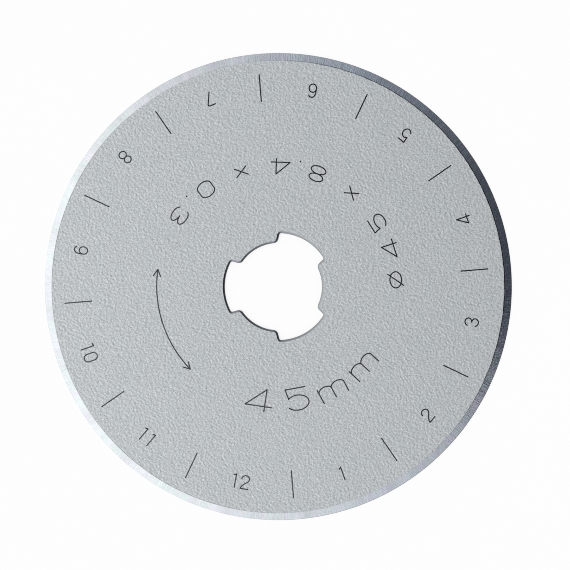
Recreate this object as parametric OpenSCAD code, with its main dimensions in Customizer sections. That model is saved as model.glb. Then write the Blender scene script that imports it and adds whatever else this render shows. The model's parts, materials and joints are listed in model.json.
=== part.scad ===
// Round blade for a hand-held rotary cutter.
// The disc lies flat in the XY plane with the marked face up (+Z). The origin is
// on the axis of the arbor hole, halfway through the thickness.

/* [Blade] */
// Diameter across the cutting edge
blade_d = 45; // [42:0.5:60]
// Thickness of the steel strip
blade_t = 0.3; // [0.25:0.05:0.5]
// Width of the ground bevel on each face, seen square on
bevel_w = 0.73; // [0.4:0.01:1.2]
// Width of the honed strip at the very edge, within the bevel
hone_w = 0.04; // [0.03:0.01:0.15]
// Half angle of the honed strip, in degrees
hone_angle = 20; // [16:1:30]

/* [Arbor hole] */
// Diameter across the three lands that locate the blade
hole_d = 8.4; // [7.6:0.1:9]
// Diameter across the three relief notches
relief_d = 10.3; // [10.2:0.1:12]
// Half width of a notch where it meets the lands, in degrees
relief_half_in = 31.4; // [26:0.2:36]
// Half width of a notch at its outer wall, in degrees
relief_half_out = 28.4; // [22:0.2:29]
// Direction of the first notch, in degrees from +X
relief_start = 60; // [0:5:120]
// Rounding of the corners that stand into the hole
land_corner_r = 0.5; // [0.1:0.02:0.6]
// Rounding of the corners at the root of a notch
root_corner_r = 0.18; // [0.06:0.02:0.24]

/* [Marks] */
// Depth of the mark pockets below the face
mark_depth = 0.03; // [0.02:0.005:0.05]
// Thickness of the dark fill that lies in the pockets
fill_t = 0.02; // [0.01:0.005:0.02]
// Width of a mark's stroke
stroke_w = 0.12; // [0.1:0.01:0.16]
// Offset in X of the marks from the arbor hole, a printing tolerance
mark_dx = -0.19; // [-0.3:0.01:0.3]
// Offset in Y of the marks from the arbor hole, a printing tolerance
mark_dy = 0.05; // [-0.3:0.01:0.3]

/* [Index scale] */
// Number of index marks and numerals
index_n = 12; // [6:1:16]
// Direction of the first index mark, in degrees from +X
tick_start = 4.64; // [0:0.02:30]
// Gap between the flat's rim and the outer end of a tick
tick_gap = 1.29; // [0.8:0.01:1.6]
// Length of a tick
tick_len = 2.69; // [1.5:0.01:3]
// Direction of numeral 1, in degrees from +X
numeral_start = 289.54; // [270:0.02:310]
// Height of a numeral
numeral_h = 1.41; // [1:0.01:1.6]
// Spacing of the two figures of a double numeral
numeral_pitch = 0.95; // [0.9:0.01:1.2]

/* [Size marks] */
// Height of the large size mark
size_h = 2.25; // [1.6:0.05:2.4]
// Height of the small size marks
note_h = 1.6; // [1.2:0.05:1.8]
// How much wider than the index numerals the size marks are drawn
size_stretch = 1.75; // [1.2:0.05:1.8]

/* [Hidden] */
$fn = 360;
steel = [0.75, 0.77, 0.78];
oxide = [0.17, 0.17, 0.18];

blade_r = blade_d / 2;
flat_r = blade_r - bevel_w;
half_t = blade_t / 2;
hone_z = hone_w * tan(hone_angle);
cut_over = 0.1;  // how far the pocket cutters stand above the face

hole_r = hole_d / 2;
relief_r = relief_d / 2;
relief_depth = relief_r - hole_r;
// A shallow notch takes smaller roundings
land_r = min(land_corner_r, 0.55 * relief_depth);
root_r = min(root_corner_r, 0.25 * relief_depth);

index_step = 360 / index_n;
tick_outer_r = flat_r - tick_gap;
tick_inner_r = tick_outer_r - tick_len;
numeral_r = (tick_inner_r + tick_outer_r) / 2;

// Rows of size marks: radius, direction of the first figure, and the angle from
// each figure to the next
size_r = tick_inner_r - 6.72;
size_start = 261.5;
size_steps = [19, 18, 19];
note_r = tick_inner_r - 6.27;
note_start = 3;
note_steps = [15, 14, 19, 19, 9, 9, 19, 19, 9, 9];

// Double-headed arrow, on the circle of the small marks
arrow_start = 172;
arrow_end = 224;
head_len = 0.62;
head_half_w = 0.34;

// ---- points and directions ----------------------------------------------

function unit(v) = v / norm(v);
function left_of(v) = [-v[1], v[0]];
function direction(v) = atan2(v[1], v[0]);
function polar(r, angle) = [r * cos(angle), r * sin(angle)];

// Points along part of an ellipse, from one angle to another
function arc(cx, cy, rx, ry, from, to, steps = 12) =
    [for (i = [0:steps])
        let (angle = from + (to - from) * i / steps)
        [cx + rx * cos(angle), cy + ry * sin(angle)]];

// The same on a circle
function circle_arc(centre, r, from, to, steps) =
    arc(centre[0], centre[1], r, r, from, to, steps);

// Distance along unit vector dir from a point to the circle of radius r
function reach(point, dir, r) =
    let (ahead = point * dir)
    -ahead + sqrt(ahead * ahead - point * point + r * r);

// Sum of the first count values
function sum_first(values, count) =
    count <= 0 ? 0 : values[count - 1] + sum_first(values, count - 1);

// ---- strokes ------------------------------------------------------------

// The point offset to the left of path[i], mitred between the two segments there
function beside(path, i, offset_w) =
    let (last = len(path) - 1,
         before = unit(i > 0 ? path[i] - path[i - 1] : path[1] - path[0]),
         after = unit(i < last ? path[i + 1] - path[i] : path[last] - path[last - 1]),
         mitre = unit(left_of(before) + left_of(after)))
    path[i] + mitre * offset_w / (mitre * left_of(before));

// Points of a round end that faces along dir, from its left side to its right
function cap(centre, dir, r, steps = 6) =
    [for (i = [1:steps - 1]) centre + polar(r, direction(dir) + 90 - 180 * i / steps)];

// A stroke with round ends
module stroke(path) {
    last = len(path) - 1;
    half_w = stroke_w / 2;
    polygon(concat(
        [for (i = [0:last]) beside(path, i, half_w)],
        cap(path[last], path[last] - path[last - 1], half_w),
        [for (i = [last:-1:0]) beside(path, i, -half_w)],
        cap(path[0], path[0] - path[1], half_w)));
}

// ---- figures ------------------------------------------------------------
// Each figure is drawn in a box one unit high, centred on its middle. It is a
// list of strokes, and a closed loop is two strokes that meet at their ends.
// "i" is the figure 1 of the double numerals, and "o" is the diameter sign.

function figure(name) =
    name == "0" ? [
        concat([[0.285, -0.2]], arc(0, 0.2, 0.285, 0.3, 0, 180), [[-0.285, -0.2]]),
        arc(0, -0.2, 0.285, 0.3, 180, 360)] :
    name == "1" ? [[[-0.15, 0.37], [0, 0.5]], [[0, 0.5], [0, -0.5]]] :
    name == "i" ? [[[-0.18, 0.44], [0, 0.5]], [[0, 0.5], [0, -0.5]]] :
    name == "2" ? [
        concat(arc(0, 0.235, 0.285, 0.265, 178, -38),
               [[-0.07, -0.168], [-0.22, -0.33], [-0.29, -0.5]]),
        [[-0.29, -0.5], [0.27, -0.5]]] :
    name == "3" ? [
        arc(-0.01, 0.255, 0.275, 0.245, 172, -88),
        arc(0.005, -0.245, 0.285, 0.255, 86, -166)] :
    name == "4" ? [
        [[0.16, 0.5], [-0.35, -0.28]],
        [[-0.35, -0.28], [0.34, -0.28]],
        [[0.16, 0.5], [0.16, -0.5]]] :
    name == "5" ? [
        [[0.25, 0.5], [-0.27, 0.5]],
        [[-0.27, 0.5], [-0.22, 0.07]],
        arc(0, -0.16, 0.29, 0.34, 140, -148)] :
    name == "6" ? [
        concat(arc(0, 0.12, 0.275, 0.38, 40, 180), arc(0, -0.19, 0.275, 0.31, 180, 360)),
        arc(0, -0.19, 0.275, 0.31, 0, 158, 10)] :
    name == "7" ? [
        [[-0.27, 0.48], [0.17, 0.5]],
        concat(arc(0.17, 0.4, 0.1, 0.1, 90, -22, 5), [[-0.11, -0.5]])] :
    name == "8" ? [
        arc(0, 0.255, 0.265, 0.245, -10, 170),
        arc(0, 0.255, 0.265, 0.245, 170, 350),
        arc(0, -0.245, 0.285, 0.255, 10, 190),
        arc(0, -0.245, 0.285, 0.255, 190, 370)] :
    // the 6 turned half way round
    name == "9" ? [for (path = figure("6")) [for (point = path) -point]] :
    name == "m" ? [
        [[-0.36, 0.15], [-0.36, -0.5]],
        concat(arc(-0.18, -0.04, 0.18, 0.19, 180, 0, 10), [[0, -0.5]]),
        concat(arc(0.18, -0.04, 0.18, 0.19, 180, 0, 10), [[0.36, -0.5]])] :
    name == "x" ? [[[-0.22, 0.28], [0.22, -0.28]], [[0.22, 0.28], [-0.22, -0.28]]] :
    name == "." ? [[[0, -0.49], [0, -0.45]]] :
    name == "o" ? [
        arc(0, 0, 0.3, 0.38, 0, 180),
        arc(0, 0, 0.3, 0.38, 180, 360),
        [[-0.22, -0.5], [0.22, 0.5]]] :
    [];

// One figure of height h over its strokes, stretched sideways
module figure_2d(name, h, stretch = 1) {
    path_h = h - stroke_w;
    for (path = figure(name))
        stroke([for (point = path) [point[0] * path_h * stretch, point[1] * path_h]]);
}

// Puts its children on a circle about the origin, with their tops towards the
// centre, so that a row of them reads counter-clockwise
module on_ring(r, angle) {
    translate(polar(r, angle)) rotate(angle + 90) children();
}

// A row of figures along a circle
module row(names, steps, r, start, h) {
    for (i = [0:len(names) - 1])
        on_ring(r, start + sum_first(steps, i)) figure_2d(names[i], h, size_stretch);
}

// ---- the three groups of marks, as flat shapes --------------------------

module ticks_2d() {
    translate([mark_dx, mark_dy])
        for (i = [0:index_n - 1])
            rotate(tick_start + index_step * i)
                stroke([[tick_inner_r + stroke_w / 2, 0], [tick_outer_r - stroke_w / 2, 0]]);
}

module numerals_2d() {
    translate([mark_dx, mark_dy])
        for (i = [1:index_n])
            on_ring(numeral_r, numeral_start + index_step * (i - 1))
                if (i < 10)
                    figure_2d(str(i), numeral_h);
                else {
                    translate([-numeral_pitch / 2, 0]) figure_2d("i", numeral_h);
                    translate([numeral_pitch / 2, 0])
                        figure_2d(i == 11 ? "i" : str(i - 10), numeral_h);
                }
}

// An arrow head with its tip at the given angle. It opens counter-clockwise
// where side is 1, and clockwise where side is -1.
module arrow_head(angle, side) {
    on_ring(note_r, angle)
        for (y = [head_half_w, -head_half_w])
            stroke([[0, 0], [side * head_len, y]]);
}

module size_marks_2d() {
    translate([mark_dx, mark_dy]) {
        // the diameter, large
        row("45mm", size_steps, size_r, size_start, size_h);
        // diameter, hole and thickness, small
        row("o45x8.4x0.3", note_steps, note_r, note_start, note_h);
        // the blade may roll either way
        stroke(circle_arc([0, 0], note_r, arrow_start, arrow_end, 26));
        arrow_head(arrow_start, 1);
        arrow_head(arrow_end, -1);
    }
}

// ---- the arbor hole -----------------------------------------------------

// One relief notch along +X. Its side walls are flat and lean in a little towards
// the outer wall. The corners at its root are rounded, and so are the corners
// where it meets the lands. Its mouth lies inside the hole's own circle.
module notch() {
    wall_start = polar(hole_r, relief_half_in);
    outward = unit(polar(relief_r, relief_half_out) - wall_start);  // along the side wall
    inward = -left_of(outward);  // from the side wall into the notch

    // the root corner's centre, off the outer wall and the side wall
    root_base = wall_start + inward * root_r;
    root_centre = root_base + outward * reach(root_base, outward, relief_r - root_r);
    // the land corner's centre, in the steel
    land_base = wall_start - inward * land_r;
    land_centre = land_base + outward * reach(land_base, outward, hole_r + land_r);

    land_arc = circle_arc(land_centre, land_r,
                          direction(land_centre) + 180, direction(inward) + 360, 8);
    root_arc = circle_arc(root_centre, root_r,
                          direction(-inward), direction(root_centre), 6);
    outer_arc = circle_arc([0, 0], relief_r,
                           direction(root_centre), -direction(root_centre), 24);

    // the first two points carry the outline on into the hole, past the land corner
    side = concat([unit(land_centre) * hole_r * 0.6,
                   land_arc[1] + (land_arc[0] - land_arc[1]) * 1.4],
                  [for (i = [1:len(land_arc) - 1]) land_arc[i]],
                  root_arc);
    // the outer arc's end points are already the ends of the two sides
    polygon(concat(side,
                   [for (i = [1:len(outer_arc) - 2]) outer_arc[i]],
                   [for (i = [len(side) - 1:-1:0]) [side[i][0], -side[i][1]]]));
}

module arbor_hole_2d() {
    circle(d = hole_d);
    for (i = [0:2]) rotate(relief_start + 120 * i) notch();
}

// ---- the pieces ---------------------------------------------------------

// The steel disc: flat faces, a ground bevel and a honed strip on each side of
// the edge, the arbor hole, and a shallow pocket for each mark
module blade() {
    color(steel)
    difference() {
        rotate_extrude()
            polygon([[0, -half_t], [flat_r, -half_t], [blade_r - hone_w, -hone_z], [blade_r, 0],
                     [blade_r - hone_w, hone_z], [flat_r, half_t], [0, half_t]]);
        translate([0, 0, -blade_t]) linear_extrude(height = 2 * blade_t) arbor_hole_2d();
        translate([0, 0, half_t - mark_depth]) linear_extrude(height = mark_depth + cut_over) {
            ticks_2d();
            numerals_2d();
            size_marks_2d();
        }
    }
}

// Dark fill on the floor of the mark pockets
module fill() {
    color(oxide)
        translate([0, 0, half_t - mark_depth]) linear_extrude(height = fill_t) children();
}

module scale_ticks() { fill() ticks_2d(); }
module scale_numerals() { fill() numerals_2d(); }
module size_marks() { fill() size_marks_2d(); }

blade();
scale_ticks();
scale_numerals();
size_marks();
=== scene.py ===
"""Looks of a 45 mm rotary cutter blade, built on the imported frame.

Every length in the geometry code is in millimetres and is turned into metres when a mesh is made.
"""
import json
import math

import bpy
import numpy as np
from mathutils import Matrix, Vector
from mathutils.geometry import delaunay_2d_cdt


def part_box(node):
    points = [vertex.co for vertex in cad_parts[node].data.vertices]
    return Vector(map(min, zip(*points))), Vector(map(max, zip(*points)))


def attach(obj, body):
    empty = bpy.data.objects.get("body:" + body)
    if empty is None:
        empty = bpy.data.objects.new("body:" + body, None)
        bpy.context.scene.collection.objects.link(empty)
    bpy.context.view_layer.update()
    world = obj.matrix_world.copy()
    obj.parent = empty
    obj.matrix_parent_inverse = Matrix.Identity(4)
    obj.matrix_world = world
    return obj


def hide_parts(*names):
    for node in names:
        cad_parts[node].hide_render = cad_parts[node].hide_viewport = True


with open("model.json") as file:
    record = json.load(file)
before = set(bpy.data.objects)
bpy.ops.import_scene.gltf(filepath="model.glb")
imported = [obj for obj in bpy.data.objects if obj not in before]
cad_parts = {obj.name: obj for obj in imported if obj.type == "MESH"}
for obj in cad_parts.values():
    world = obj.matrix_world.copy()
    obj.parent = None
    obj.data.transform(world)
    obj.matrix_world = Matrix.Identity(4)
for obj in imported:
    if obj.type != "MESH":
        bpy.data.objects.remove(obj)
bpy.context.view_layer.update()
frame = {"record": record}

MM = 0.001

# ---------------------------------------------------------------------------
# Sizes. The outline, thickness, bore and mark depths come from the frame.
# ---------------------------------------------------------------------------
lo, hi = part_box("blade")
EDGE_R = max(hi.x, hi.y, -lo.x, -lo.y) / MM   # the cutting edge
HALF_T = hi.z / MM
ticks_lo, ticks_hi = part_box("scale_ticks")
FILL_Z0, FILL_Z1 = ticks_lo.z / MM, ticks_hi.z / MM
HOLE_R = 4.2
for m in frame["record"].get("mounts", []):
    if m["name"] == "arbor_hole":
        HOLE_R = m["dims"]["r_mm"]

FLAT_R = EDGE_R - 0.73                   # shoulder between the flat and the bevel
HONE_R = EDGE_R - 0.04                   # start of the honed strip
HONE_Z = 0.04 * math.tan(math.radians(20))
RELIEF_R = 5.15
RELIEF_IN, RELIEF_OUT, RELIEF_START = 31.4, 28.4, 60
LAND_ROUND, ROOT_ROUND = 0.5, 0.18
STROKE_W = 0.12
MARK_X, MARK_Y = -0.19, 0.05
TICK_R1 = FLAT_R - 1.29
TICK_R0 = TICK_R1 - 2.69
NUMERAL_R = (TICK_R0 + TICK_R1) / 2
NUMERAL_H, NUMERAL_PITCH = 1.41, 0.95
TICK_START, NUMERAL_START = 4.64, 289.54
SIZE_R, NOTE_R = TICK_R0 - 6.72, TICK_R0 - 6.27
SIZE_H, NOTE_H, WIDE = 2.25, 1.6, 1.75
EDGE_BREAK = 0.2                         # width of the rolled edge round the hole

RIM_N = 1080                             # points round the rim


def polar(r, deg):
    a = math.radians(deg)
    return np.array([r * math.cos(a), r * math.sin(a)])


def heading(v):
    return math.degrees(math.atan2(v[1], v[0]))


# ---------------------------------------------------------------------------
# Strokes and figures
# ---------------------------------------------------------------------------
def arc(cx, cy, rx, ry, a0, a1, n=32):
    return [(cx + rx * math.cos(math.radians(a0 + (a1 - a0) * i / n)),
             cy + ry * math.sin(math.radians(a0 + (a1 - a0) * i / n))) for i in range(n + 1)]


def flip(points):
    return [(-x, -y) for x, y in points]


SIX = arc(0, 0.12, 0.275, 0.38, 40, 180) + arc(0, -0.19, 0.275, 0.31, 180, 518, 60)
# A figure is a list of (points, closed) in a box one unit high
FIGURES = {
    "0": [(arc(0, 0.2, 0.285, 0.3, 0, 180) + arc(0, -0.2, 0.285, 0.3, 180, 360), True)],
    "1": [([(-0.15, 0.37), (0, 0.5)], False), ([(0, 0.5), (0, -0.5)], False)],
    "i": [([(-0.18, 0.44), (0, 0.5)], False), ([(0, 0.5), (0, -0.5)], False)],
    "2": [(arc(0, 0.235, 0.285, 0.265, 178, -38) + [(-0.07, -0.168), (-0.22, -0.33), (-0.29, -0.5)], False),
          ([(-0.29, -0.5), (0.27, -0.5)], False)],
    "3": [(arc(-0.01, 0.255, 0.275, 0.245, 172, -88), False),
          (arc(0.005, -0.245, 0.285, 0.255, 86, -166), False)],
    "4": [([(0.16, 0.5), (-0.35, -0.28)], False), ([(-0.35, -0.28), (0.34, -0.28)], False),
          ([(0.16, 0.5), (0.16, -0.5)], False)],
    "5": [([(0.25, 0.5), (-0.27, 0.5)], False), ([(-0.27, 0.5), (-0.22, 0.07)], False),
          (arc(0, -0.16, 0.29, 0.34, 140, -148), False)],
    "6": [(SIX, False)],
    "7": [([(-0.27, 0.48), (0.17, 0.5)], False),
          (arc(0.17, 0.4, 0.1, 0.1, 90, -22, 10) + [(-0.11, -0.5)], False)],
    "8": [(arc(0, 0.255, 0.265, 0.245, 90, 450, 48)[:-1], True),
          (arc(0, -0.245, 0.285, 0.255, 90, 450, 48)[:-1], True)],
    "9": [(flip(SIX), False)],
    "m": [([(-0.36, 0.15), (-0.36, -0.5)], False),
          (arc(-0.18, -0.04, 0.18, 0.19, 180, 0, 28) + [(0, -0.5)], False),
          (arc(0.18, -0.04, 0.18, 0.19, 180, 0, 28) + [(0.36, -0.5)], False)],
    "x": [([(-0.22, 0.28), (0.22, -0.28)], False), ([(0.22, 0.28), (-0.22, -0.28)], False)],
    ".": [([(0, -0.49), (0, -0.45)], False)],
    "o": [(arc(0, 0, 0.3, 0.38, 90, 450, 60)[:-1], True), ([(-0.22, -0.5), (0.22, 0.5)], False)],
}


def on_ring(points, r, deg):
    """Puts points on a circle, with their tops towards the centre."""
    a = math.radians(deg + 90)
    c, s = math.cos(a), math.sin(a)
    o = polar(r, deg)
    return [(o[0] + MARK_X + x * c - y * s, o[1] + MARK_Y + x * s + y * c) for x, y in points]


def figure_strokes(char, h, r, deg, k=1.0, shift=0.0):
    g = h - STROKE_W
    return [(on_ring([(x * g * k + shift, y * g) for x, y in pts], r, deg), closed)
            for pts, closed in FIGURES[char]]


def tick_strokes():
    out = []
    for i in range(12):
        a = TICK_START + 30 * i
        p, q = polar(TICK_R0 + STROKE_W / 2, a), polar(TICK_R1 - STROKE_W / 2, a)
        out.append(([(p[0] + MARK_X, p[1] + MARK_Y), (q[0] + MARK_X, q[1] + MARK_Y)], False))
    return out


def numeral_strokes():
    out = []
    for i in range(1, 13):
        a = NUMERAL_START + 30 * (i - 1)
        if i < 10:
            out += figure_strokes(str(i), NUMERAL_H, NUMERAL_R, a)
        else:
            out += figure_strokes("i", NUMERAL_H, NUMERAL_R, a, shift=-NUMERAL_PITCH / 2)
            out += figure_strokes("i" if i == 11 else str(i - 10), NUMERAL_H, NUMERAL_R, a,
                                  shift=NUMERAL_PITCH / 2)
    return out


def row(chars, steps, r, a0, h, k):
    out, a = [], a0
    for i, c in enumerate(chars):
        out += figure_strokes(c, h, r, a, k)
        if i < len(steps):
            a += steps[i]
    return out


def size_strokes():
    out = row("45mm", [19, 18, 19], SIZE_R, 261.5, SIZE_H, WIDE)
    out += row("o45x8.4x0.3", [15, 14, 19, 19, 9, 9, 19, 19, 9, 9], NOTE_R, 3, NOTE_H, WIDE)
    out.append(([(x + MARK_X, y + MARK_Y) for x, y in arc(0, 0, NOTE_R, NOTE_R, 172, 224, 120)], False))
    for deg, turn in ((172, 1), (224, -1)):
        out.append((on_ring([(0, 0), (turn * 0.62, 0.34)], NOTE_R, deg), False))
        out.append((on_ring([(0, 0), (turn * 0.62, -0.34)], NOTE_R, deg), False))
    return out


def cap(c, d, s):
    """Round end of a stroke. Its points sit at fixed angles, so that two strokes that end together share them."""
    step = 15.0
    k1, k0 = math.ceil((d + 90) / step - 1e-6) - 1, math.floor((d - 90) / step + 1e-6) + 1
    return [(c[0] + s * math.cos(math.radians(k * step)), c[1] + s * math.sin(math.radians(k * step)))
            for k in range(k1, k0 - 1, -1)]


def even(points, closed, longest):
    """Adds points on long segments."""
    out = []
    n = len(points)
    for i in range(n if closed else n - 1):
        p, q = np.array(points[i]), np.array(points[(i + 1) % n])
        k = max(1, int(math.ceil(np.linalg.norm(q - p) / longest)))
        out += [tuple(p + (q - p) * j / k) for j in range(k)]
    if not closed:
        out.append(tuple(points[-1]))
    return out


def stroke_loops(points, closed, w=STROKE_W, longest=0.2):
    """Closed outlines of a stroke. The sum of their windings isn't zero inside it."""
    s = w / 2
    kept = [points[0]]
    for p in points[1:]:
        if math.dist(p, kept[-1]) > 1e-4:
            kept.append(p)
    if closed and math.dist(kept[0], kept[-1]) < 1e-4:
        kept.pop()
    p = np.array(even(kept, closed, longest))
    n = len(p)
    if closed:
        before, after = p - np.roll(p, 1, 0), np.roll(p, -1, 0) - p
    else:
        d = np.diff(p, axis=0)
        before, after = np.vstack([d[:1], d]), np.vstack([d, d[-1:]])
    before /= np.linalg.norm(before, axis=1)[:, None]
    after /= np.linalg.norm(after, axis=1)[:, None]
    la, lb = (np.stack([-v[:, 1], v[:, 0]], 1) for v in (before, after))
    m = la + lb
    m /= np.linalg.norm(m, axis=1)[:, None]
    m *= (s / (m * la).sum(1))[:, None]
    left, right = p + m, p - m
    if closed:
        return [left, right[::-1]]
    return [np.array([tuple(q) for q in left] + cap(p[-1], heading(after[-1]), s)
                     + [tuple(q) for q in right[::-1]] + cap(p[0], heading(-before[0]), s))]


MARKS = {"scale_ticks": tick_strokes(), "scale_numerals": numeral_strokes(), "size_marks": size_strokes()}
LOOPS = {name: [stroke_loops(*s) for s in strokes] for name, strokes in MARKS.items()}


# ---------------------------------------------------------------------------
# The hole's outline, with its exact normal into the steel at each point
# ---------------------------------------------------------------------------
def hole_outline():
    r0, r1 = HOLE_R, RELIEF_R

    def unit(v):
        return v / np.linalg.norm(v)

    def along(b, d, r):
        h = float(b @ d)
        return -h + math.sqrt(h * h - float(b @ b) + r * r)

    p = polar(r0, RELIEF_IN)
    d = unit(polar(r1, RELIEF_OUT) - p)
    n = np.array([d[1], -d[0]])
    b = p + n * ROOT_ROUND
    c = b + d * along(b, d, r1 - ROOT_ROUND)
    e = p - n * LAND_ROUND
    f = e + d * along(e, d, r0 + LAND_ROUND)
    half = []                                           # (point, normal into the steel)
    hc = heading(c)
    for i in range(33):                                 # outer wall, from its middle
        u = polar(1, hc * i / 32)
        half.append((u * r1, u))
    h0, h1 = hc, heading(-n)
    for i in range(1, 11):                              # root corner
        u = polar(1, h0 + (h1 - h0) * i / 10)
        half.append((c + u * ROOT_ROUND, u))
    q0, q1 = half[-1][0], f + n * LAND_ROUND
    for i in range(1, 9):                               # side wall
        half.append((q0 + (q1 - q0) * i / 8, -n))
    h0, h1 = heading(n) + 360, heading(f) + 180
    for i in range(1, 13):                              # land corner
        u = polar(1, h0 + (h1 - h0) * i / 12)
        half.append((f + u * LAND_ROUND, -u))
    a0 = heading(f)
    for i in range(1, 25):                              # half of the land
        u = polar(1, a0 + (60 - a0) * i / 24)
        half.append((u * r0, u))
    mirror = [(np.array([x[0], -x[1]]), np.array([v[0], -v[1]])) for x, v in half[::-1]]
    third = mirror[:-1] + half[:-1]                     # from -60 up to 60 degrees
    pts, nrm = [], []
    for k in range(3):
        a = math.radians(RELIEF_START + 120 * k)
        m = np.array([[math.cos(a), -math.sin(a)], [math.sin(a), math.cos(a)]])
        for x, v in third:
            pts.append(m @ x)
            nrm.append(m @ v)
    return np.array(pts), np.array(nrm)


HOLE_P, HOLE_N = hole_outline()


# ---------------------------------------------------------------------------
# Flat faces by constrained triangulation
# ---------------------------------------------------------------------------
def winding(points, loop):
    """Winding number of a closed loop about each point."""
    x, y = points[:, 0][:, None], points[:, 1][:, None]
    a, b = loop, np.roll(loop, -1, 0)
    up = (a[:, 1] <= y) & (b[:, 1] > y)
    down = (a[:, 1] > y) & (b[:, 1] <= y)
    side = (b[:, 0] - a[:, 0]) * (y - a[:, 1]) - (x - a[:, 0]) * (b[:, 1] - a[:, 1])
    return (up & (side > 0)).sum(1) - (down & (side < 0)).sum(1)


def inside(points, loops):
    """True where the windings of a stroke's loops don't cancel."""
    box = np.vstack(loops)
    near = np.all((points >= box.min(0)) & (points <= box.max(0)), axis=1)
    out = np.zeros(len(points), bool)
    if near.any():
        out[near] = sum(winding(points[near], l) for l in loops) != 0
    return out


def flat_face(rim, hole, strokes_by_name):
    """Triangulates the flat between the rim and the hole. Returns points, triangles, and each triangle's mark name index or -1."""
    loops = [rim, hole] + [l for ss in strokes_by_name.values() for s in ss for l in s]
    fixed = np.vstack(loops)
    s = 0.62
    grid = []
    j = 0
    y = -FLAT_R
    while y < FLAT_R:
        x0 = -FLAT_R + (s / 2 if j % 2 else 0)
        for x in np.arange(x0, FLAT_R, s):
            if x * x + y * y < (FLAT_R - 0.3) ** 2:
                grid.append((x, y))
        y += s * math.sqrt(3) / 2
        j += 1
    grid = np.array(grid)
    keep = np.ones(len(grid), bool)
    for k in range(0, len(grid), 400):                   # clear of the outlines
        d = ((grid[k:k + 400, None, :] - fixed[None]) ** 2).sum(2).min(1)
        keep[k:k + 400] = d > 0.2 ** 2
    grid = grid[keep]
    verts = np.vstack([fixed, grid])
    edges, start = [], 0
    for l in loops:
        n = len(l)
        edges += [(start + i, start + (i + 1) % n) for i in range(n)]
        start += n
    out = delaunay_2d_cdt([Vector((float(x), float(y))) for x, y in verts], edges, [], 0, 1e-6, True)
    pts = np.array([tuple(v) for v in out[0]], float)
    for i, src in enumerate(out[3]):
        if src:
            pts[i] = verts[src[0]]
    tris = np.array([f for f in out[2] if len(f) == 3], int)
    a, b, c = pts[tris[:, 0]], pts[tris[:, 1]], pts[tris[:, 2]]
    area = (b[:, 0] - a[:, 0]) * (c[:, 1] - a[:, 1]) - (b[:, 1] - a[:, 1]) * (c[:, 0] - a[:, 0])
    tris[area < 0] = tris[area < 0][:, ::-1]
    mid = (a + b + c) / 3
    ok = (winding(mid, hole) == 0) & (winding(mid, rim) != 0)
    tris, mid = tris[ok], mid[ok]
    mark = np.full(len(tris), -1)
    for k, ss in enumerate(strokes_by_name.values()):
        for loops_of in ss:
            mark[inside(mid, loops_of)] = k
    return pts, tris, mark


class Builder:
    """Collects faces by position and welds shared corners."""

    def __init__(self):
        self.index, self.verts, self.faces, self.mats = {}, [], [], []

    def corner(self, x, y, z):
        key = (round(x * 1e5), round(y * 1e5), round(z * 1e5))
        i = self.index.get(key)
        if i is None:
            i = self.index[key] = len(self.verts)
            self.verts.append((x, y, z))
        return i

    def face(self, pts, mat):
        ids = [self.corner(*p) for p in pts]
        ids = [v for k, v in enumerate(ids) if v != ids[k - 1]]
        if len(ids) >= 3 and len(set(ids)) == len(ids):
            self.faces.append(tuple(ids))
            self.mats.append(mat)

    def mesh(self, name, sharp=None):
        me = bpy.data.meshes.new(name)
        me.from_pydata([(x * MM, y * MM, z * MM) for x, y, z in self.verts], [], self.faces)
        me.polygons.foreach_set("material_index", self.mats)
        me.update()
        open_edges = len(me.edges) * 2 - sum(len(f) for f in self.faces)
        uses = {}
        for f in self.faces:
            for k in range(len(f)):
                e = (min(f[k], f[k - 1]), max(f[k], f[k - 1]))
                uses[e] = uses.get(e, 0) + 1
        odd = sum(1 for v in uses.values() if v != 2)
        print(f"MESH {name}: {len(self.verts)} vertices, {len(self.faces)} faces, {odd} edges without two faces")
        return me


RING_ANGLES = [math.radians(360 * i / RIM_N) for i in range(RIM_N)]
rng = np.random.default_rng(45)


def shoulder_wave(seed, size):
    """The grinding wheel leaves the shoulder a little uneven, and the bevel wider on one side."""
    g = np.random.default_rng(seed)
    a = np.array(RING_ANGLES)
    w = np.zeros(RIM_N)
    for k in range(20, 360, 4):
        w += g.normal() * np.sin(k * a + g.uniform(0, 2 * math.pi)) / (1 + (k / 160) ** 1.2)
    return w / w.std() * size + 0.02 * np.cos(a - math.radians(215))


def circle(r):
    """r is a number or one radius for each point."""
    r = np.broadcast_to(np.asarray(r, float), (RIM_N,))
    return np.stack([r * np.cos(RING_ANGLES), r * np.sin(RING_ANGLES)], 1)


# ---------------------------------------------------------------------------
# The blade
# ---------------------------------------------------------------------------
FACE, BEVEL, HONE, EDGE, POCKET = range(5)
MARK_NAMES = list(LOOPS)


def hole_profile():
    """(distance into the steel, height below the face) of the rolled edge, from the face down to the wall.
    It falls away at 15 degrees where it leaves the face and at 28 degrees at the wall."""
    a, b = math.tan(math.radians(15)), math.tan(math.radians(28))
    return [(EDGE_BREAK * (1 - i / 8), EDGE_BREAK * (a * i / 8 + (b - a) / 2 * (i / 8) ** 2)) for i in range(9)]


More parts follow.
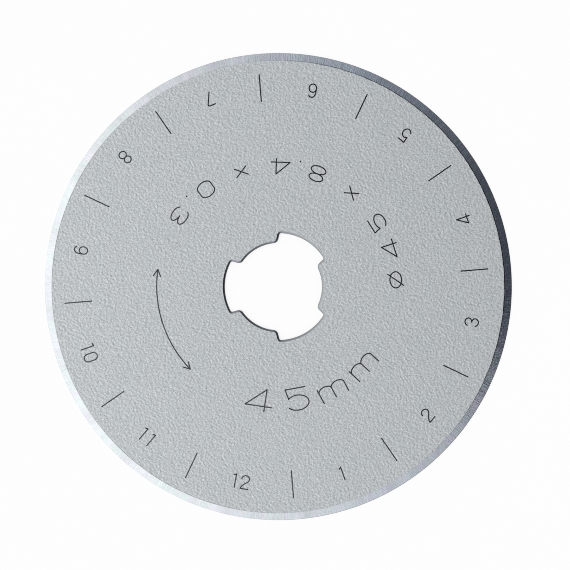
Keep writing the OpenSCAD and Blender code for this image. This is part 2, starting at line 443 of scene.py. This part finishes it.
def build_blade():
    b = Builder()
    prof = hole_profile()
    inner = HOLE_P + HOLE_N * EDGE_BREAK
    top_rim = circle(FLAT_R + shoulder_wave(7, 0.009))
    low_rim = circle(FLAT_R + shoulder_wave(8, 0.009))
    pts, tris, mark = flat_face(top_rim, inner, LOOPS)
    z1, z0 = HALF_T, FILL_Z0
    for t, k in zip(tris, mark):
        z = z1 if k < 0 else z0
        b.face([(pts[i][0], pts[i][1], z) for i in t], FACE if k < 0 else POCKET)
    owner = {}
    for ti, t in enumerate(tris):
        for k in range(3):
            owner[(t[k], t[(k + 1) % 3])] = ti
    walls = []                                           # pocket walls, seen from inside the pocket
    for (i, j), ti in owner.items():
        tj = owner.get((j, i))
        if tj is not None and mark[ti] >= 0 and mark[tj] < 0:
            walls.append((i, j, mark[ti]))
            p, q = pts[i], pts[j]
            b.face([(q[0], q[1], z0), (q[0], q[1], z1), (p[0], p[1], z1), (p[0], p[1], z0)][::-1], POCKET)
    lp, lt, _ = flat_face(low_rim, inner, {})
    for t in lt:
        b.face([(lp[i][0], lp[i][1], -z1) for i in t[::-1]], FACE)

    def rim_band(r0, za, r1, zb, mat, up):
        c0, c1 = circle(r0), circle(r1)
        for i in range(RIM_N):
            j = (i + 1) % RIM_N
            q = [(c0[i][0], c0[i][1], za), (c1[i][0], c1[i][1], zb),
                 (c1[j][0], c1[j][1], zb), (c0[j][0], c0[j][1], za)]
            b.face(q if up else q[::-1], mat)

    for up, wave in ((True, shoulder_wave(7, 0.009)), (False, shoulder_wave(8, 0.009))):
        sgn = 1 if up else -1
        steps = [0, 1 / 3, 2 / 3, 1]
        for s0, s1 in zip(steps, steps[1:]):
            ra = FLAT_R + wave * (1 - s0) + (HONE_R - FLAT_R) * s0
            rb = FLAT_R + wave * (1 - s1) + (HONE_R - FLAT_R) * s1
            rim_band(ra, sgn * (HALF_T + (HONE_Z - HALF_T) * s0), rb,
                     sgn * (HALF_T + (HONE_Z - HALF_T) * s1), BEVEL, up)
        rim_band(HONE_R, sgn * HONE_Z, EDGE_R, 0, HONE, up)

    rings = [(s, HALF_T - z) for s, z in prof]
    rings += [(s, -h) for s, h in rings[::-1]]
    n = len(HOLE_P)
    for (s0, za), (s1, zb) in zip(rings, rings[1:]):
        c0, c1 = HOLE_P + HOLE_N * s0, HOLE_P + HOLE_N * s1
        for i in range(n):
            j = (i + 1) % n
            b.face([(c0[i][0], c0[i][1], za), (c0[j][0], c0[j][1], za),
                    (c1[j][0], c1[j][1], zb), (c1[i][0], c1[i][1], zb)], EDGE)
    return b, pts, tris, mark, walls


def build_fill(k, pts, tris, mark, walls):
    b = Builder()
    for t in tris[mark == k]:
        b.face([(pts[i][0], pts[i][1], FILL_Z1) for i in t], 0)
        b.face([(pts[i][0], pts[i][1], FILL_Z0) for i in t[::-1]], 0)
    for i, j, owner in walls:
        if owner == k:
            p, q = pts[i], pts[j]
            b.face([(p[0], p[1], FILL_Z0), (q[0], q[1], FILL_Z0),
                    (q[0], q[1], FILL_Z1), (p[0], p[1], FILL_Z1)], 0)
    return b


def finish_mesh(me, crease=True):
    """Smooth shading, with sharp edges between zones and at corners."""
    me.polygons.foreach_set("use_smooth", [True] * len(me.polygons))
    if crease:
        me.set_sharp_from_angle(angle=math.radians(24))
        mats = [p.material_index for p in me.polygons]
        sides = {}
        for p in me.polygons:
            for key in p.edge_keys:
                sides.setdefault(key, []).append(mats[p.index])
        sharp = me.attributes.get("sharp_edge") or me.attributes.new("sharp_edge", "BOOLEAN", "EDGE")
        for e in me.edges:
            m = sides.get(tuple(sorted(e.vertices)), [0, 0])
            if len(m) == 2 and m[0] != m[1]:
                sharp.data[e.index].value = True
    me.update()
    return me


def add_piece(name, me, *materials):
    o = bpy.data.objects.new(name, me)
    bpy.context.scene.collection.objects.link(o)
    for m in materials:
        me.materials.append(m)
    return o


# ---------------------------------------------------------------------------
# Node trees
# ---------------------------------------------------------------------------
class Tree:
    def __init__(self, nt):
        self.nt = nt
        nt.nodes.clear()

    def new(self, kind, **props):
        n = self.nt.nodes.new(kind)
        for k, v in props.items():
            setattr(n, k, v)
        return n

    def put(self, socket, value):
        if isinstance(value, bpy.types.NodeSocket):
            self.nt.links.new(value, socket)
        elif isinstance(value, (tuple, list)) and len(value) == 3 and socket.type == "RGBA":
            socket.default_value = (*value, 1)
        else:
            socket.default_value = value

    def math(self, op, *args, clamp=False):
        n = self.new("ShaderNodeMath", operation=op, use_clamp=clamp)
        for s, v in zip(n.inputs, args):
            self.put(s, v)
        return n.outputs[0]

    def vec(self, op, *args, out=0):
        n = self.new("ShaderNodeVectorMath", operation=op)
        for s, v in zip(n.inputs, args[:1] if op == "SCALE" else args):
            self.put(s, v)
        if op == "SCALE":
            self.put(n.inputs["Scale"], args[1])
        return n.outputs["Value"] if op in ("LENGTH", "DOT_PRODUCT", "DISTANCE") else n.outputs[out]

    def xyz(self, x=0.0, y=0.0, z=0.0):
        n = self.new("ShaderNodeCombineXYZ")
        for s, v in zip(n.inputs, (x, y, z)):
            self.put(s, v)
        return n.outputs[0]

    def split(self, v):
        n = self.new("ShaderNodeSeparateXYZ")
        self.put(n.inputs[0], v)
        return n.outputs

    def noise(self, v, scale=1.0, detail=2.0, rough=0.5, distort=0.0):
        n = self.new("ShaderNodeTexNoise", noise_dimensions="3D")
        self.put(n.inputs["Vector"], v)
        for k, x in (("Scale", scale), ("Detail", detail), ("Roughness", rough), ("Distortion", distort)):
            self.put(n.inputs[k], x)
        return n.outputs[0]

    def fit(self, x, a, b, c, d, smooth=False):
        n = self.new("ShaderNodeMapRange", interpolation_type="SMOOTHSTEP" if smooth else "LINEAR", clamp=True)
        for s, v in zip(n.inputs, (x, a, b, c, d)):
            self.put(s, v)
        return n.outputs[0]

    def mix(self, f, a, b, kind="MIX"):
        n = self.new("ShaderNodeMix", data_type="RGBA", blend_type=kind, clamp_factor=True)
        self.put(n.inputs[0], f)
        self.put(n.inputs[6], a)
        self.put(n.inputs[7], b)
        return n.outputs[2]

    def ramp(self, x, stops, kind="LINEAR"):
        n = self.new("ShaderNodeValToRGB")
        cr = n.color_ramp
        cr.interpolation = kind
        cr.elements[0].position, cr.elements[1].position = stops[0][0], stops[-1][0]
        cr.elements[0].color, cr.elements[1].color = (*stops[0][1], 1), (*stops[-1][1], 1)
        for p, c in stops[1:-1]:
            cr.elements.new(p).color = (*c, 1)
        self.put(n.inputs[0], x)
        return n.outputs[0]

    def wobble(self, x, amount, centre=0.5):
        """1 + amount * (x - centre)"""
        return self.math("MULTIPLY_ADD", self.math("SUBTRACT", x, centre), amount, 1.0)

    def bump(self, height, distance, normal=None):
        n = self.new("ShaderNodeBump")
        self.put(n.inputs["Height"], height)
        self.put(n.inputs["Distance"], distance)
        self.put(n.inputs["Strength"], 1.0)
        if normal is not None:
            self.put(n.inputs["Normal"], normal)
        return n.outputs[0]

    def place(self):
        """Position in the frame, in millimetres."""
        return self.vec("SCALE", self.new("ShaderNodeTexCoord").outputs["Object"], 1000.0)

    def surface(self, colour, rough, normal=None, metallic=1.0, specular=0.5):
        p = self.new("ShaderNodeBsdfPrincipled")
        self.put(p.inputs["Base Color"], colour)
        self.put(p.inputs["Roughness"], rough)
        self.put(p.inputs["Metallic"], metallic)
        self.put(p.inputs["Specular IOR Level"], specular)
        if normal is not None:
            self.put(p.inputs["Normal"], normal)
        out = self.new("ShaderNodeOutputMaterial")
        self.nt.links.new(p.outputs[0], out.inputs[0])
        return p


def material(name):
    m = bpy.data.materials.new(name)
    m.use_nodes = True
    return m, Tree(m.node_tree)


STEEL = (0.662, 0.691, 0.702)
# depth of the dark line along the shoulder, partly a burr and partly painted shade in the crease, as (degrees from
# +X, 0 to 1)
SHOULDER_BURR_AND_SHADE = [(0, 0.88), (40, 0.85), (65, 0.72), (80, 0.50), (92, 0.10), (125, 0.05), (140, 0.50), (165, 0.75),
                 (185, 0.60), (215, 0.55), (240, 0.72), (262, 0.50), (285, 0.05), (310, 0.05), (328, 0.30),
                 (343, 0.80), (360, 0.88)]


def face_steel():
    """Satin strip steel: fine grain that runs one way, over a fine speckle."""
    m, t = material("steel_face_satin")
    p = t.place()
    turned = t.new("ShaderNodeVectorRotate", rotation_type="Z_AXIS")
    t.put(turned.inputs["Vector"], p)
    t.put(turned.inputs["Angle"], math.radians(-119))
    q = turned.outputs[0]
    # the difference of two shifted copies leaves streaks without broad bands
    streak = t.math("SUBTRACT", t.noise(t.vec("MULTIPLY", q, (3.4, 6.3, 1.0)), 1.0, 1.0, 0.55),
                    t.noise(t.vec("MULTIPLY", t.vec("ADD", q, (0.0, 0.185, 0.0)), (3.4, 6.3, 1.0)), 1.0, 1.0, 0.55))
    speck = t.noise(p, 12.0, 1.5, 0.6)
    cloud = t.noise(p, 0.22, 3.0, 0.5)
    tone = t.math("MULTIPLY", t.wobble(streak, GRAIN_STREAK, 0.0), t.wobble(speck, GRAIN_SPECK))
    tone = t.math("MULTIPLY", tone, t.wobble(cloud, 0.05))
    warm = t.mix(t.fit(t.noise(p, 0.45, 2.0, 0.5), 0.35, 0.65, 0.0, 1.0, True),
                 (STEEL[0] * 0.993, STEEL[1] * 1.0, STEEL[2] * 1.006),
                 (STEEL[0] * 1.006, STEEL[1] * 1.0, STEEL[2] * 0.995))
    colour = t.vec("SCALE", warm, tone)
    rough = t.math("MULTIPLY", t.wobble(speck, 0.5), 0.33)
    h = t.math("ADD", t.math("MULTIPLY", streak, 1.0), t.math("MULTIPLY", speck, 0.8))
    t.surface(colour, rough, t.bump(h, GRAIN_BUMP * MM))
    return m


def ground_steel(name, rough, fine, streak_amount, bump, tint=(1, 1, 1)):
    """Ground steel round the rim: fine lines across the bevel, and slow changes along it."""
    m, t = material(name)
    p = t.place()
    x, y, z = t.split(p)
    flat = t.xyz(x, y, 0.0)
    r = t.vec("LENGTH", flat)
    rim = t.vec("SCALE", t.vec("NORMALIZE", flat), EDGE_R)
    across = t.math("MULTIPLY", r, 1.1)
    rx, ry, _ = t.split(rim)
    lines = t.noise(t.xyz(t.math("MULTIPLY", rx, fine), t.math("MULTIPLY", ry, fine), across), 1.0, 3.0, 0.65)
    speck = t.noise(p, 8.0, 2.0, 0.6)
    slow = t.noise(t.xyz(rx, ry, t.math("MULTIPLY", r, 0.4)), 0.5, 3.0, 0.55)
    tone = t.math("MULTIPLY", t.wobble(lines, streak_amount), t.wobble(speck, streak_amount * 0.7))
    tone = t.math("MULTIPLY", tone, t.wobble(slow, 0.38))
    hue = t.mix(t.fit(t.noise(rim, 0.9, 2.0, 0.5), 0.35, 0.65, 0.0, 1.0, True),
                (STEEL[0] * 0.965 * tint[0], STEEL[1] * 1.005 * tint[1], STEEL[2] * 1.0 * tint[2]),
                (STEEL[0] * 1.02 * tint[0], STEEL[1] * 0.985 * tint[1], STEEL[2] * 1.035 * tint[2]))
    # a dark line along the shoulder: partly a burr that the wheel leaves, partly painted shade in the crease,
    # deeper or fainter round the rim
    turn = t.math("FRACT", t.math("ADD", t.math("DIVIDE", t.math("ARCTAN2", y, x), 2 * math.pi), 1.0))
    line = t.math("MULTIPLY", t.fit(r, FLAT_R + 0.03, FLAT_R + 0.095, 1.0, 0.0, True),
                  t.ramp(turn, [(a / 360, (v, v, v)) for a, v in SHOULDER_BURR_AND_SHADE]))
    tone = t.math("MULTIPLY", tone, t.math("SUBTRACT", 1.0, line))
    colour = t.vec("SCALE", hue, tone)
    ro = t.math("MULTIPLY", t.wobble(lines, 0.8), rough)
    t.surface(colour, ro, t.bump(t.math("ADD", lines, t.math("MULTIPLY", speck, 0.5)), bump * MM))
    return m


def hole_steel():
    """Punched wall and rolled edge of the hole: upright score lines."""
    m, t = material("steel_hole_edge")
    p = t.place()
    score = t.noise(t.vec("MULTIPLY", p, (14.0, 14.0, 1.6)), 1.0, 3.0, 0.6)
    speck = t.noise(p, 16.0, 2.0, 0.6)
    tone = t.math("MULTIPLY", t.wobble(score, 0.7), t.wobble(speck, 0.3))
    colour = t.vec("SCALE", (STEEL[0] * 0.52, STEEL[1] * 0.52, STEEL[2] * 0.53), tone)
    t.surface(colour, t.math("MULTIPLY", t.wobble(score, 0.9), 0.2), t.bump(score, 0.002 * MM))
    return m


def pocket_steel():
    m, t = material("steel_mark_pocket")
    p = t.place()
    n = t.noise(p, 22.0, 3.0, 0.65)
    colour = t.vec("SCALE", (0.11, 0.112, 0.118), t.wobble(n, 1.2))
    t.surface(colour, t.math("MULTIPLY", t.wobble(n, 0.5), 0.62), t.bump(n, 0.002 * MM), metallic=0.8)
    return m


def dark_fill():
    """Dark deposit of the marks: matt, uneven, paler towards the lower left, and heavier where a stroke ends."""
    m, t = material("mark_fill_dark")
    p = t.place()
    fine = t.noise(p, 26.0, 3.0, 0.7)
    slow = t.noise(p, 2.6, 2.0, 0.5)
    tip = t.new("ShaderNodeAttribute", attribute_name="tip").outputs["Fac"]
    tone = t.math("MULTIPLY", t.wobble(fine, 1.1), t.wobble(slow, 1.6))
    tone = t.math("MULTIPLY", tone, t.fit(tip, 0.0, 1.0, 1.0, 0.45))
    px, py, _ = t.split(p)
    # the fill is paler towards the lower left
    paler_lower_left = t.fit(t.math("ADD", t.math("MULTIPLY", px, -0.79), t.math("MULTIPLY", py, -0.62)), -14.0, 20.0, 0.0, 1.0)
    paler_lower_left = t.math("MULTIPLY", paler_lower_left, t.wobble(slow, 0.8))
    colour = t.vec("SCALE", t.mix(paler_lower_left, (0.0145, 0.0148, 0.016), (0.125, 0.127, 0.131)), tone)
    rough = t.math("MULTIPLY", t.wobble(fine, 0.5), 0.72)
    t.surface(colour, rough, t.bump(fine, 0.004 * MM), metallic=0.0, specular=0.16)
    return m


GRAIN_STREAK, GRAIN_SPECK, GRAIN_BUMP = 0.62, 1.5, 0.0014

b, PTS, TRIS, MARK, WALLS = build_blade()
face_mat = face_steel()
blade = add_piece("steel_blade", finish_mesh(b.mesh("steel_blade")), face_mat,
                  ground_steel("steel_bevel_ground", 0.15, 11.0, 0.45, 0.011),
                  ground_steel("steel_edge_honed", 0.13, 16.0, 0.3, 0.001, (1.03, 1.02, 1.02)),
                  hole_steel(), pocket_steel())
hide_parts("blade")
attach(blade, "root")

fill_mat = dark_fill()
for k, name in enumerate(MARK_NAMES):
    fb = build_fill(k, PTS, TRIS, MARK, WALLS)
    me = finish_mesh(fb.mesh("fill_" + name))
    ends = np.array([q for pts, closed in MARKS[name] if not closed for q in (pts[0], pts[-1])])
    co = np.array(fb.verts)[:, :2]
    near = np.sqrt(((co[:, None] - ends[None]) ** 2).sum(2)).min(1)
    tip = me.attributes.new("tip", "FLOAT", "POINT")
    tip.data.foreach_set("value", np.clip(1.25 - near / 0.16, 0, 1).astype(np.float32))
    o = add_piece("fill_" + name, me, fill_mat)
    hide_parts(name)
    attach(o, "root")

# ---------------------------------------------------------------------------
# Studio: pale floor, soft light that is white on the left and falls off to the right
# ---------------------------------------------------------------------------
bpy.context.scene.view_settings.view_transform = "Standard"
bpy.context.scene.view_settings.look = "None"
bpy.context.scene.cycles.filter_width = 1.0
bpy.context.scene.cycles.use_denoising = False    # a denoiser wipes the steel's grain

floor_me = bpy.data.meshes.new("studio_floor")
N = 128
floor_me.from_pydata([(4 * math.cos(2 * math.pi * i / N), 4 * math.sin(2 * math.pi * i / N), lo.z - 2e-6)
                      for i in range(N)], [], [tuple(range(N))])
floor = bpy.data.objects.new("studio_floor", floor_me)
bpy.context.scene.collection.objects.link(floor)
m, t = material("studio_floor_pale")
p = t.new("ShaderNodeBsdfPrincipled")
grain = t.noise(t.place(), 0.05, 2.0, 0.5)
t.put(p.inputs["Base Color"], t.vec("SCALE", (0.35, 0.35, 0.35), t.wobble(grain, 0.02)))
t.put(p.inputs["Roughness"], 1.0)
t.put(p.inputs["Specular IOR Level"], 0.0)
t.put(p.inputs["Emission Color"], (1.0, 0.997, 0.991))
t.put(p.inputs["Emission Strength"], 0.762)
t.nt.links.new(p.outputs[0], t.new("ShaderNodeOutputMaterial").inputs[0])
floor_me.materials.append(m)

world = bpy.data.worlds.new("studio")
bpy.context.scene.world = world
world.use_nodes = True
t = Tree(world.node_tree)
d = t.new("ShaderNodeTexCoord").outputs["Generated"]
dx, dy, dz = t.split(d)
azimuth = t.math("FRACT", t.math("ADD", t.math("DIVIDE", t.math("ARCTAN2", dy, dx), 2 * math.pi), 1.0))
zenith = t.math("ARCCOSINE", t.math("MINIMUM", t.math("ABSOLUTE", dz), 1.0))


def lit(v, tint):
    return tuple(v * c for c in tint)


DEEP, COOL, DUSK = (0.2, 0.8, 2.8), (0.89, 1.0, 1.22), (0.94, 1.0, 1.10)
PALE, DIM, WHITE = (0.982, 1.0, 1.09), (0.985, 1.0, 1.035), (0.992, 1.0, 0.998)


def ring(stops, kind="LINEAR"):
    """Brightness round the horizon, as (degrees from +X, brightness, tint)."""
    return t.ramp(azimuth, [(a / 360, tuple(v * c for c in tint)) for a, v, tint in stops], kind)


# near the zenith, half way down, and at the horizon
side = ring([(0, 0.014, DEEP), (38, 0.068, COOL), (60, 0.23, COOL), (76, 0.375, COOL), (90, 0.68, PALE),
             (120, 0.98, WHITE), (135, 1.16, WHITE), (150, 1.36, WHITE), (168, 1.42, WHITE), (185, 1.36, WHITE),
             (205, 1.30, WHITE), (232, 1.32, WHITE), (258, 1.19, WHITE), (300, 0.71, PALE), (318, 0.72, PALE),
             (330, 0.35, PALE), (338, 0.09, COOL), (344, 0.016, DEEP), (360, 0.014, DEEP)])
mid = ring([(0, 0.03, DUSK), (60, 0.14, DUSK), (95, 0.50, PALE), (130, 0.90, WHITE), (160, 1.2, WHITE),
            (235, 1.2, WHITE), (262, 0.88, PALE), (285, 0.50, PALE), (300, 0.26, DUSK), (315, 0.14, DUSK),
            (330, 0.06, DUSK), (360, 0.03, DUSK)])
low = ring([(0, 0.46, DIM), (90, 0.58, DIM), (200, 0.74, WHITE), (300, 0.60, DIM), (360, 0.46, DIM)], "B_SPLINE")
low = t.vec("SCALE", low, t.fit(zenith, math.radians(60), math.radians(86), 0.84, 1.28))
overhead = t.mix(t.fit(zenith, 0.0, math.radians(24), 0.0, 1.0), (0.715, 0.715, 0.715), side)
shoulder = t.mix(t.fit(zenith, math.radians(29), math.radians(40), 0.0, 1.0, True), overhead, mid)
sky = t.mix(t.fit(zenith, math.radians(45), math.radians(61), 0.0, 1.0, True), shoulder, low)
lights = t.new("ShaderNodeBackground")
t.put(lights.inputs[0], sky)
t.put(lights.inputs[1], 1.0)
seen = t.new("ShaderNodeBackground")
t.put(seen.inputs[0], (0.985, 0.985, 0.985))
choose = t.new("ShaderNodeMixShader")
t.put(choose.inputs[0], t.new("ShaderNodeLightPath").outputs["Is Camera Ray"])
t.nt.links.new(lights.outputs[0], choose.inputs[1])
t.nt.links.new(seen.outputs[0], choose.inputs[2])
t.nt.links.new(choose.outputs[0], t.new("ShaderNodeOutputWorld").inputs[0])

# Camera: square on from above
CAM_D = 400.0
cam = bpy.data.cameras.new("camera")
cam.sensor_width = 36.0
cam.lens = 36.0 * CAM_D / 54.90
cam.clip_start, cam.clip_end = 0.01, 100.0
eye = bpy.data.objects.new("camera", cam)
eye.location = (0.645 * MM, 0.154 * MM, (HALF_T + CAM_D) * MM)
bpy.context.scene.collection.objects.link(eye)
bpy.context.scene.camera = eye

# The floor is hidden from a camera that looks from below
under = floor.driver_add("hide_render").driver
under.type = "SCRIPTED"
v = under.variables.new()
v.name = "z"
v.type = "TRANSFORMS"
v.targets[0].id = eye
v.targets[0].transform_type = "LOC_Z"
v.targets[0].transform_space = "WORLD_SPACE"
under.expression = "z < -0.0001"
